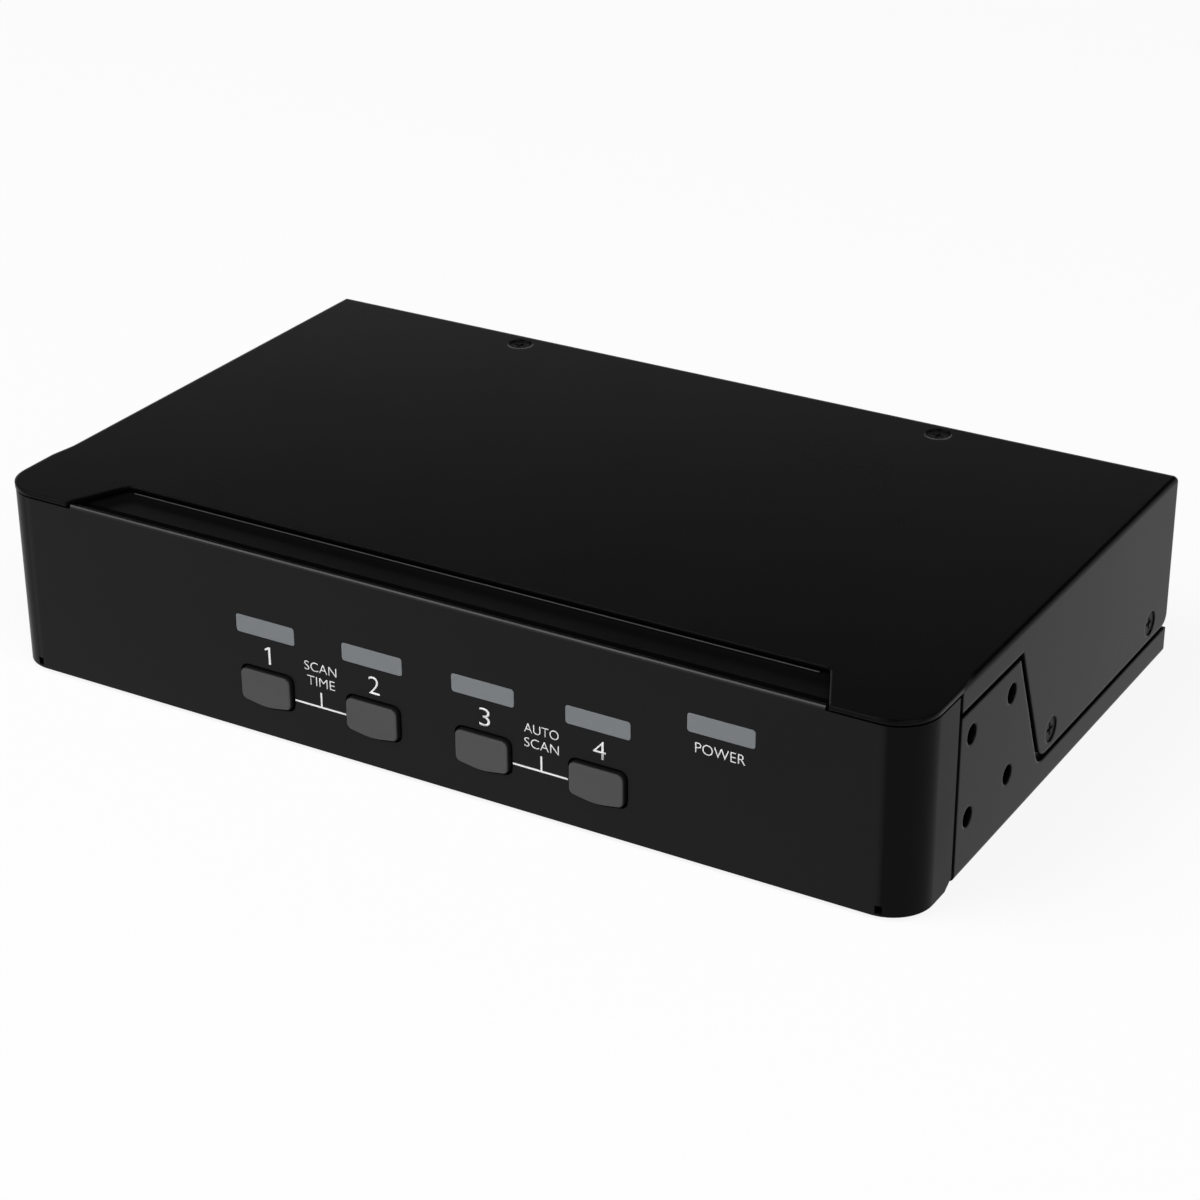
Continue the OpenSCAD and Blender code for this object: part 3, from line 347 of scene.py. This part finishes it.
# %% [markdown]
# One builder serves every surface of the box. It mixes a base colour that drifts a little, a
# lighter colour on rubbed edges and a trace of dust, varies the roughness, and lets the grain drive
# a bump. What is the same all over is set on the shader itself.
#
# Four options are for single finishes. `edge_round` rounds the shading normal at sharp edges.
# `bend_rough` is the roughness on folds, where the paint is drawn out thin and smooth. `sheen` gives
# the specular level of faces other than the smooth flat front, and of upper front edges, which hands
# polish. The last option is painted shade: it paints the side walls of a button near black, standing
# for the shade on them and in the gap around them, and leaves the base colour on the front only.

# %% Builder for grained finishes
dust_grey = (0.25, 0.24, 0.22, 1.0)
wear_share = 0.3
dust_share = 0.05
tone_low, tone_high = 0.3, 0.7


def shade(colour, factor):
    return tuple(min(1.0, c * factor) for c in colour) + (1.0,)


def grained_finish(
    name, colour, rough, grain_scale, grain_depth, drift=0.12, wear_gain=2.0, specular=0.5, metallic=0.0,
    edge_round=None, bend_rough=None, sheen=None, painted_wall_shade=None
):
    material, tree = new_material(name)
    texture = add_node(tree, "ShaderNodeGroup", {"Scale": grain_scale}, node_tree=grain)
    edges = add_node(tree, "ShaderNodeGroup", node_tree=wear)
    specks = add_node(tree, "ShaderNodeGroup", node_tree=dust)
    tone = texture.outputs["Tone"]
    rubbed = product(tree, edges.outputs["Mask"], wear_share)
    dusty = product(tree, specks.outputs["Mask"], dust_share)
    surface = mix_colour(tree, tone, shade(colour, 1 - drift), shade(colour, 1 + drift))
    surface = mix_colour(tree, rubbed, surface, shade(colour, wear_gain))
    surface = mix_colour(tree, dusty, surface, dust_grey)
    rough_swing = drift / 3
    roughness = ramp(tree, tone, tone_low, tone_high, rough - rough_swing, rough + rough_swing)
    normal = add_node(tree, "ShaderNodeNewGeometry").outputs["Normal"]
    if edge_round:
        normal = add_node(tree, "ShaderNodeBevel", {"Radius": edge_round}, samples=4).outputs[0]
    if bend_rough:
        roughness = fold_roughness(tree, normal, roughness, bend_rough)
    # Painted shade: faces turned away from the front get a near-black colour instead of the base colour.
    if painted_wall_shade:
        front = turned_to(tree, normal, front_way, button_front_limits)
        surface = mix_colour(tree, front, painted_wall_shade + (1.0,), surface)
    relief = {"Height": texture.outputs["Height"], "Distance": grain_depth, "Normal": normal}
    bump = add_node(tree, "ShaderNodeBump", {**relief, "Strength": 1.0})
    inputs = {"Base Color": surface, "Roughness": roughness, "Normal": bump.outputs[0]}
    constants = {"Specular IOR Level": specular, "Metallic": metallic}
    shader = add_node(tree, "ShaderNodeBsdfPrincipled", {**inputs, **constants})
    if sheen:
        level = sheen_level(tree, normal, specular, *sheen)
        tree.links.new(level, shader.inputs["Specular IOR Level"])
    add_node(tree, "ShaderNodeOutputMaterial", {"Surface": shader.outputs[0]})
    return material


print("builder ready: grained_finish")

# %% [markdown]
# Outside, the box is powder-coated steel, moulded plastic in black and grey, and rubber. The blacks
# are set darker than they look, because the room's reflection is added to them. The screws of the
# cover are blackened, which hides their metal, so they are made like the paint.

# %% Paint, plastic and rubber outside
finishes = {
    "steel_black": grained_finish(
        "black_powder_coat", (0.0018, 0.0018, 0.0019), rough=0.28, grain_scale=2600.0,
        grain_depth=6 * MICRON, drift=0.02, specular=0.047, edge_round=0.8 * MM, bend_rough=0.10
    ),
    "moulded_black": grained_finish(
        "black_moulded_plastic", (0.0035, 0.0035, 0.0036), rough=0.30, grain_scale=2100.0,
        grain_depth=6 * MICRON, specular=0.115, sheen=(0.035, 0.30)
    ),
    # The buttons' side walls are painted near black as painted shade, so only the face keeps the grey.
    "button_grey": grained_finish(
        "grey_button_plastic", (0.056, 0.056, 0.057), rough=0.50, grain_scale=2400.0,
        grain_depth=8 * MICRON, specular=0.2, painted_wall_shade=(0.004, 0.004, 0.004)
    ),
    "lens_grey": grained_finish(
        "grey_lamp_window", (0.147, 0.158, 0.167), rough=0.34, grain_scale=1500.0,
        grain_depth=3 * MICRON, drift=0.06, specular=0.35
    ),
    "foot_rubber": grained_finish(
        "foot_rubber", (0.013, 0.013, 0.013), rough=0.80, grain_scale=1800.0,
        grain_depth=25 * MICRON, specular=0.2
    ),
    "screw_black": grained_finish(
        "black_oxide_screw", (0.006, 0.006, 0.006), rough=0.42, grain_scale=3200.0,
        grain_depth=8 * MICRON, specular=0.06
    ),
}
print("finishes outside:", len(finishes))

# %% [markdown]
# Inside and behind are the plastics of boards, switches and sockets. Makers colour the jacks by their
# use: pink takes the microphone, and green the speakers.

# %% Plastic inside and behind
finishes.update({
    "switch_black": grained_finish(
        "switch_plastic", (0.022, 0.022, 0.023), rough=0.48, grain_scale=2200.0,
        grain_depth=8 * MICRON, specular=0.4
    ),
    "plunger_grey": grained_finish(
        "plunger_plastic", (0.11, 0.11, 0.11), rough=0.45, grain_scale=2200.0, grain_depth=6 * MICRON
    ),
    "chip_black": grained_finish(
        "chip_resin", (0.024, 0.024, 0.026), rough=0.55, grain_scale=3000.0, grain_depth=10 * MICRON
    ),
    "capacitor_sleeve": grained_finish(
        "capacitor_sleeve", (0.03, 0.05, 0.09), rough=0.35, grain_scale=900.0, grain_depth=5 * MICRON
    ),
    "tongue_white": grained_finish(
        "white_socket_plastic", (0.72, 0.72, 0.69), rough=0.45, grain_scale=2200.0,
        grain_depth=4 * MICRON, wear_gain=1.1
    ),
    "jack_pink": grained_finish(
        "pink_jack_plastic", (0.66, 0.19, 0.29), rough=0.38, grain_scale=2000.0,
        grain_depth=4 * MICRON, wear_gain=1.2
    ),
    "jack_green": grained_finish(
        "green_jack_plastic", (0.25, 0.48, 0.10), rough=0.38, grain_scale=2000.0,
        grain_depth=4 * MICRON, wear_gain=1.2
    ),
    "lamp_epoxy": grained_finish(
        "lamp_epoxy", (0.78, 0.76, 0.60), rough=0.25, grain_scale=1200.0,
        grain_depth=3 * MICRON, wear_gain=1.1
    ),
    "board_green": grained_finish(
        "board_lacquer", (0.02, 0.12, 0.055), rough=0.30, grain_scale=1300.0, grain_depth=8 * MICRON
    ),
})
print("finishes with those inside:", len(finishes))

# %% [markdown]
# Plated and anodised metal takes its look from its reflections. The same builder makes it with the
# metallic input turned up, and the grain stands for the faint marks that rolling, turning and
# plating leave.

# %% Metals
finishes.update({
    "screw_zinc": grained_finish(
        "zinc_plate", (0.60, 0.60, 0.58), rough=0.33, grain_scale=1800.0,
        grain_depth=5 * MICRON, wear_gain=1.2, metallic=1.0
    ),
    "shell_steel": grained_finish(
        "nickel_plate", (0.62, 0.61, 0.59), rough=0.27, grain_scale=1500.0,
        grain_depth=4 * MICRON, wear_gain=1.2, metallic=1.0
    ),
    "brass": grained_finish(
        "brass_turning", (0.70, 0.53, 0.24), rough=0.30, grain_scale=1900.0,
        grain_depth=5 * MICRON, wear_gain=1.2, metallic=1.0
    ),
    "sink_black": grained_finish(
        "black_anodised", (0.045, 0.045, 0.05), rough=0.40, grain_scale=2500.0,
        grain_depth=6 * MICRON, metallic=0.8
    ),
})
print("finishes in all:", len(finishes))

# %% [markdown]
# Each solid has a named slot for its finish. The slots could be filled by hand in the material list,
# but the part's record says which finish goes on which solid, so a loop fills them all.

# %% Dress the solids
for part in frame["record"]["subparts"]:
    for place in nodes[part["node"]].material_slots:
        place.material = finishes[part["material_slot"]]
print("dressed:", sum(len(o.material_slots) for o in nodes.values()), "slots on", len(nodes), "solids")

# %% [markdown]
# ## Rounded edges
#
# No real edge is perfectly sharp: sheet steel is deburred before it is painted, and moulded plastic
# leaves its tool with small radii. Without them an edge catches no light. The solids keep their own
# meshes, and a short stack of modifiers changes what is drawn: weld the split corners, dissolve the
# flat triangles, bevel what is sharper than a set angle, and shade the result smoothly. The cover,
# base, front and rear panel get no bevel, because their shortest edges leave no room for one. Their
# solids have the larger radii already, and the paint's finish rounds the look of the sheets' edges.

# %% Smooth shading
smooth_limit = math.radians(50)


def smooth_shading_group():
    """Geometry nodes that shade faces smooth and keep edges sharp above the limit."""
    group = bpy.data.node_groups.new("Shade smooth by angle", "GeometryNodeTree")
    group.interface.new_socket("Geometry", in_out="INPUT", socket_type="NodeSocketGeometry")
    group.interface.new_socket("Geometry", in_out="OUTPUT", socket_type="NodeSocketGeometry")
    given = add_node(group, "NodeGroupInput")
    faces = add_node(group, "GeometryNodeSetShadeSmooth", {"Geometry": given.outputs[0]}, domain="FACE")
    angle = add_node(group, "GeometryNodeInputMeshEdgeAngle").outputs["Unsigned Angle"]
    gentle = add_node(group, "ShaderNodeMath", {0: angle, 1: smooth_limit}, operation="LESS_THAN")
    edge_inputs = {"Geometry": faces.outputs[0], "Shade Smooth": gentle.outputs[0]}
    edges = add_node(group, "GeometryNodeSetShadeSmooth", edge_inputs, domain="EDGE")
    add_node(group, "NodeGroupOutput", {"Geometry": edges.outputs[0]})
    return group


smooth_shading = smooth_shading_group()
print("geometry group:", smooth_shading.name)

# %% Rounding of the solids
weld_reach = 0.001 * MM
flat_limit = math.radians(0.5)
sharp_limit = math.radians(28)
round_segments = 3


def round_edges(piece, radius):
    weld = piece.modifiers.new("weld", "WELD")
    weld.merge_threshold = weld_reach
    flatten = piece.modifiers.new("flatten", "DECIMATE")
    flatten.decimate_type = "DISSOLVE"
    flatten.angle_limit = flat_limit
    if radius:
        edge = piece.modifiers.new("round", "BEVEL")
        edge.width = radius
        edge.segments = round_segments
        edge.limit_method = "ANGLE"
        edge.angle_limit = sharp_limit
    shading = piece.modifiers.new("shading", "NODES")
    shading.node_group = smooth_shading
    normals = piece.modifiers.new("normals", "WEIGHTED_NORMAL")
    normals.keep_sharp = True


ports = range(1, 5)
fine_radius = 0.10 * MM
edge_radius = {
    "top_cover": 0, "base_chassis": 0, "front_bezel": 0, "rear_panel": 0, "rubber_feet": 0.50 * MM,
    "power_jack": 0.30 * MM, "microphone_jacks": 0.30 * MM, "speaker_jacks": 0.30 * MM,
    "heat_sink": 0.15 * MM, "power_lens": 0.15 * MM,
}
edge_radius.update({f"button_{i}": 0.55 * MM for i in ports})
edge_radius.update({f"port_lens_{i}": 0.15 * MM for i in ports})
for name, piece in nodes.items():
    round_edges(piece, edge_radius.get(name, fine_radius))
print("rounded:", len([o for o in nodes.values() if "round" in o.modifiers]), "of", len(nodes), "solids")

# %% [markdown]
# ## Printed words
#
# The front carries white screen printing: a number over each button, and for each pair of buttons
# two words and a bracket that joins them. It could be a picture on the face, but that blurs up
# close. Ink lies on the plastic as a thin film, so each word is a thin mesh that sits on the face.
# Text is made with Blender's own font, turned into a mesh, and fitted to a box of the right size.

# %% Ink
ink_film = 0.03 * MM
ink_material = grained_finish(
    "white_print", (0.74, 0.74, 0.74), rough=0.55, grain_scale=3000.0,
    grain_depth=3 * MICRON, wear_gain=1.0
)


def flat_text(words, thinner=0.0):
    """Mesh of a line of letters, whose strokes can be made thinner."""
    curve = bpy.data.curves.new("words", "FONT")
    curve.body = words
    curve.offset = -thinner
    holder = bpy.data.objects.new("words", curve)
    bpy.context.scene.collection.objects.link(holder)
    view = bpy.context.evaluated_depsgraph_get()
    mesh = bpy.data.meshes.new_from_object(holder.evaluated_get(view))
    bpy.data.objects.remove(holder)
    bpy.data.curves.remove(curve)
    return mesh


def place_print(name, mesh, low, high, y):
    """Fits a flat mesh into the box low to high on a face at y, and gives it the film's thickness."""
    xs = [v.co.x for v in mesh.vertices]
    ys = [v.co.y for v in mesh.vertices]
    left, bottom = min(xs), min(ys)
    wide, tall = max(xs) - left, max(ys) - bottom
    for v in mesh.vertices:
        across = (v.co.x - left) / wide
        up = (v.co.y - bottom) / tall
        v.co = Vector((low[0] + across * (high[0] - low[0]), y, low[1] + up * (high[1] - low[1])))
    mesh.name = name
    film = bpy.data.objects.new(name, mesh)
    film.data.materials.clear()
    film.data.materials.append(ink_material)
    bpy.context.scene.collection.objects.link(film)
    thickness = film.modifiers.new("film", "SOLIDIFY")
    thickness.thickness = ink_film
    thickness.offset = 1.0
    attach(film, "case")


def middle_x(box):
    return (box[0].x + box[1].x) / 2


front_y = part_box("front_bezel")[0].y
front_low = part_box("front_bezel")[0].z
columns = [middle_x(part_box(f"button_{i}")) for i in ports]
print("front face at", round(front_y / MM, 2), "mm, columns at", [round(x / MM, 1) for x in columns])

# %% [markdown]
# The built-in font draws the number 1 as a plain bar, so that digit is an outline of its own: a stem
# with a small flag. The numbers, and the words between them, lie a little to the right of where the
# buttons would put them, because a printing screen is never lined up perfectly.

# %% Numbers on the front
print_shift = 0.4 * MM
thinning = 0.012
one_outline = [(0.63, 0), (1, 0), (1, 1), (0.74, 1), (0, 0.87), (0, 0.76), (0.63, 0.85)]


def flat_outline(points):
    mesh = bpy.data.meshes.new("outline")
    mesh.from_pydata([(x, y, 0) for x, y in points], [], [range(len(points))])
    return mesh


def digit_shape(number):
    return flat_outline(one_outline) if number == 1 else flat_text(str(number), thinning)


digit_h = 4.1 * MM
digit_low = front_low + 17.25 * MM
digit_w = {1: 1.35 * MM, 2: 2.7 * MM, 3: 2.6 * MM, 4: 2.9 * MM}
for i, x in enumerate(columns, start=1):
    low = (x + print_shift - digit_w[i] / 2, digit_low)
    high = (low[0] + digit_w[i], digit_low + digit_h)
    place_print(f"print_port_{i}", digit_shape(i), low, high, front_y)
print("numbers:", len(columns))

# %% Words on the front
word_h = 2.1 * MM
word_w = {"scan": 8.1 * MM, "time": 7.0 * MM, "auto": 8.1 * MM}
word_rows = (front_low + 18.65 * MM, front_low + 15.35 * MM)
first_of_pair = {"scan_time": 1, "auto_scan": 3}
for name, first in first_of_pair.items():
    middle = (columns[first - 1] + columns[first]) / 2 + print_shift
    for row, word in enumerate(name.split("_")):
        low = (middle - word_w[word] / 2, word_rows[row])
        high = (middle + word_w[word] / 2, word_rows[row] + word_h)
        shape = flat_text(word.upper(), thinning)
        place_print(f"print_{name}_{row + 1}", shape, low, high, front_y)

power_x = middle_x(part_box("power_lens"))
power_left, power_right = power_x - 5.6 * MM, power_x + 5.4 * MM
power_bottom, power_top = front_low + 24.9 * MM, front_low + 27.15 * MM
power_shape = flat_text("POWER", thinning)
place_print("print_power", power_shape, (power_left, power_bottom), (power_right, power_top), front_y)
print("words: POWER,", ", ".join(name.replace("_", " ").upper() for name in first_of_pair))

# %% [markdown]
# A bracket joins each pair of buttons to the words over it: a bar between the two, with a stem in
# the middle. Two boxes would overlap where they meet, so each bracket is one outline.

# %% Brackets between the buttons
line_w = 0.4 * MM
hole_half = 7.0 * MM
stem_shift = 0.3 * MM
bracket_low = front_low + 10.3 * MM
bracket_high = front_low + 14.0 * MM
bar_top = bracket_low + line_w
for first in first_of_pair.values():
    left, right = columns[first - 1] + hole_half, columns[first] - hole_half
    stem = (columns[first - 1] + columns[first]) / 2 + stem_shift
    points = [
        (left, bracket_low), (right, bracket_low), (right, bar_top), (stem + line_w / 2, bar_top),
        (stem + line_w / 2, bracket_high), (stem - line_w / 2, bracket_high),
        (stem - line_w / 2, bar_top), (left, bar_top),
    ]
    name = f"print_bracket_{first}_{first + 1}"
    place_print(name, flat_outline(points), (left, bracket_low), (right, bracket_high), front_y)

# %% [markdown]
# ## Rear of the box
#
# The panel behind names each group of sockets in the same ink: the numbers of the computers, the
# desk's own group, and the power jack. The places come from the sockets themselves, so the words
# follow if a socket moves. Seen from behind, words run towards lower x, so the box that each word is
# fitted to starts at its higher x.

# %% Words on the rear
rear_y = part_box("rear_panel")[1].y


def solid_boxes(name):
    """Lowest and highest corner of each separate solid of a node, in order along x."""
    shape = bmesh.new()
    shape.from_mesh(nodes[name].data)
    bmesh.ops.remove_doubles(shape, verts=shape.verts, dist=weld_reach)
    waiting = set(shape.verts)
    boxes = []
    while waiting:
        reached = [waiting.pop()]
        for vert in reached:
            beside = {edge.other_vert(vert) for edge in vert.link_edges} & waiting
            waiting -= beside
            reached.extend(beside)
        ends = [[pick(v.co[axis] for v in reached) for axis in range(3)] for pick in (min, max)]
        boxes.append([Vector(end) for end in ends])
    shape.free()
    return sorted(boxes, key=lambda box: tuple(box[0]))


def rear_word(name, shape, x, low, height, width):
    start, end = (x + width / 2, low), (x - width / 2, low + height)
    place_print(f"print_rear_{name}", shape, start, end, rear_y)


rear_scale = 0.8
rear_word_h = 2.3 * MM
rear_word_gap = 1.6 * MM
letter_w = 1.75 * MM
for i, box in enumerate(solid_boxes("video_shells")):
    x, row = middle_x(box), box[1].z + rear_word_gap
    if i == 0:
        rear_word("console", flat_text("CONSOLE"), x, row, rear_word_h, len("CONSOLE") * letter_w)
    else:
        rear_word(i, digit_shape(i), x, row, digit_h * rear_scale, digit_w[i] * rear_scale)
jack_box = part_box("power_jack")
x, row = middle_x(jack_box), jack_box[1].z + rear_word_gap
power_word_w = len("POWER") * letter_w * rear_scale
rear_word("power", flat_text("POWER"), x, row, rear_word_h * rear_scale, power_word_w)

# %% [markdown]
# Inside each socket the tongue carries spring contacts. They are short gilded strips that lie on
# the tongue's faces and dip into it at the mouth, so that a plug rides up onto them. One object for
# each strip would be a long list, so all strips of one kind of socket make one mesh.

# %% Contacts in the sockets
strip_t = 0.06 * MM
strip_back = 6.0 * MM
strip_mouth = 0.5 * MM
strip_ramp = 0.5 * MM


def add_strip(shape, x, width, mouth_y, face_z, out):
    """One contact: a low bar along y on a face at face_z, whose front end slopes into the face."""
    section = [
        (mouth_y, face_z - out * strip_t), (mouth_y - strip_ramp, face_z + out * strip_t),
        (mouth_y - strip_back, face_z + out * strip_t), (mouth_y - strip_back, face_z - out * strip_t),
    ]
    sides = [[shape.verts.new((x + side * width / 2, y, z)) for y, z in section] for side in (-1, 1)]
    shape.faces.new(sides[0])
    shape.faces.new(sides[1])
    for i in range(len(section)):
        j = (i + 1) % len(section)
        shape.faces.new((sides[0][i], sides[0][j], sides[1][j], sides[1][i]))


def socket_contacts(name, node, count, width, faces):
    """Evenly spaced strips on the upper (1) and lower (-1) face of each tongue of a node."""
    shape = bmesh.new()
    tongues = solid_boxes(node)
    for low, high in tongues:
        step = (high.x - low.x) / count
        for face in faces:
            face_z = high.z if face > 0 else low.z
            for i in range(count):
                add_strip(shape, low.x + (i + 0.5) * step, width, high.y - strip_mouth, face_z, face)
    bmesh.ops.recalc_face_normals(shape, faces=shape.faces)
    mesh = bpy.data.meshes.new(name)
    shape.to_mesh(mesh)
    shape.free()
    contacts = bpy.data.objects.new(name, mesh)
    mesh.materials.append(finishes["brass"])
    bpy.context.scene.collection.objects.link(contacts)
    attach(contacts, "case")
    return len(tongues) * len(faces) * count


strips = socket_contacts("video_contacts", "video_tongues", count=10, width=0.55 * MM, faces=(1, -1))
strips += socket_contacts("host_contacts", "host_tongues", count=2, width=1.2 * MM, faces=(1, -1))
strips += socket_contacts("device_contacts", "device_tongues", count=4, width=1.1 * MM, faces=(-1,))
print("contact strips:", strips)
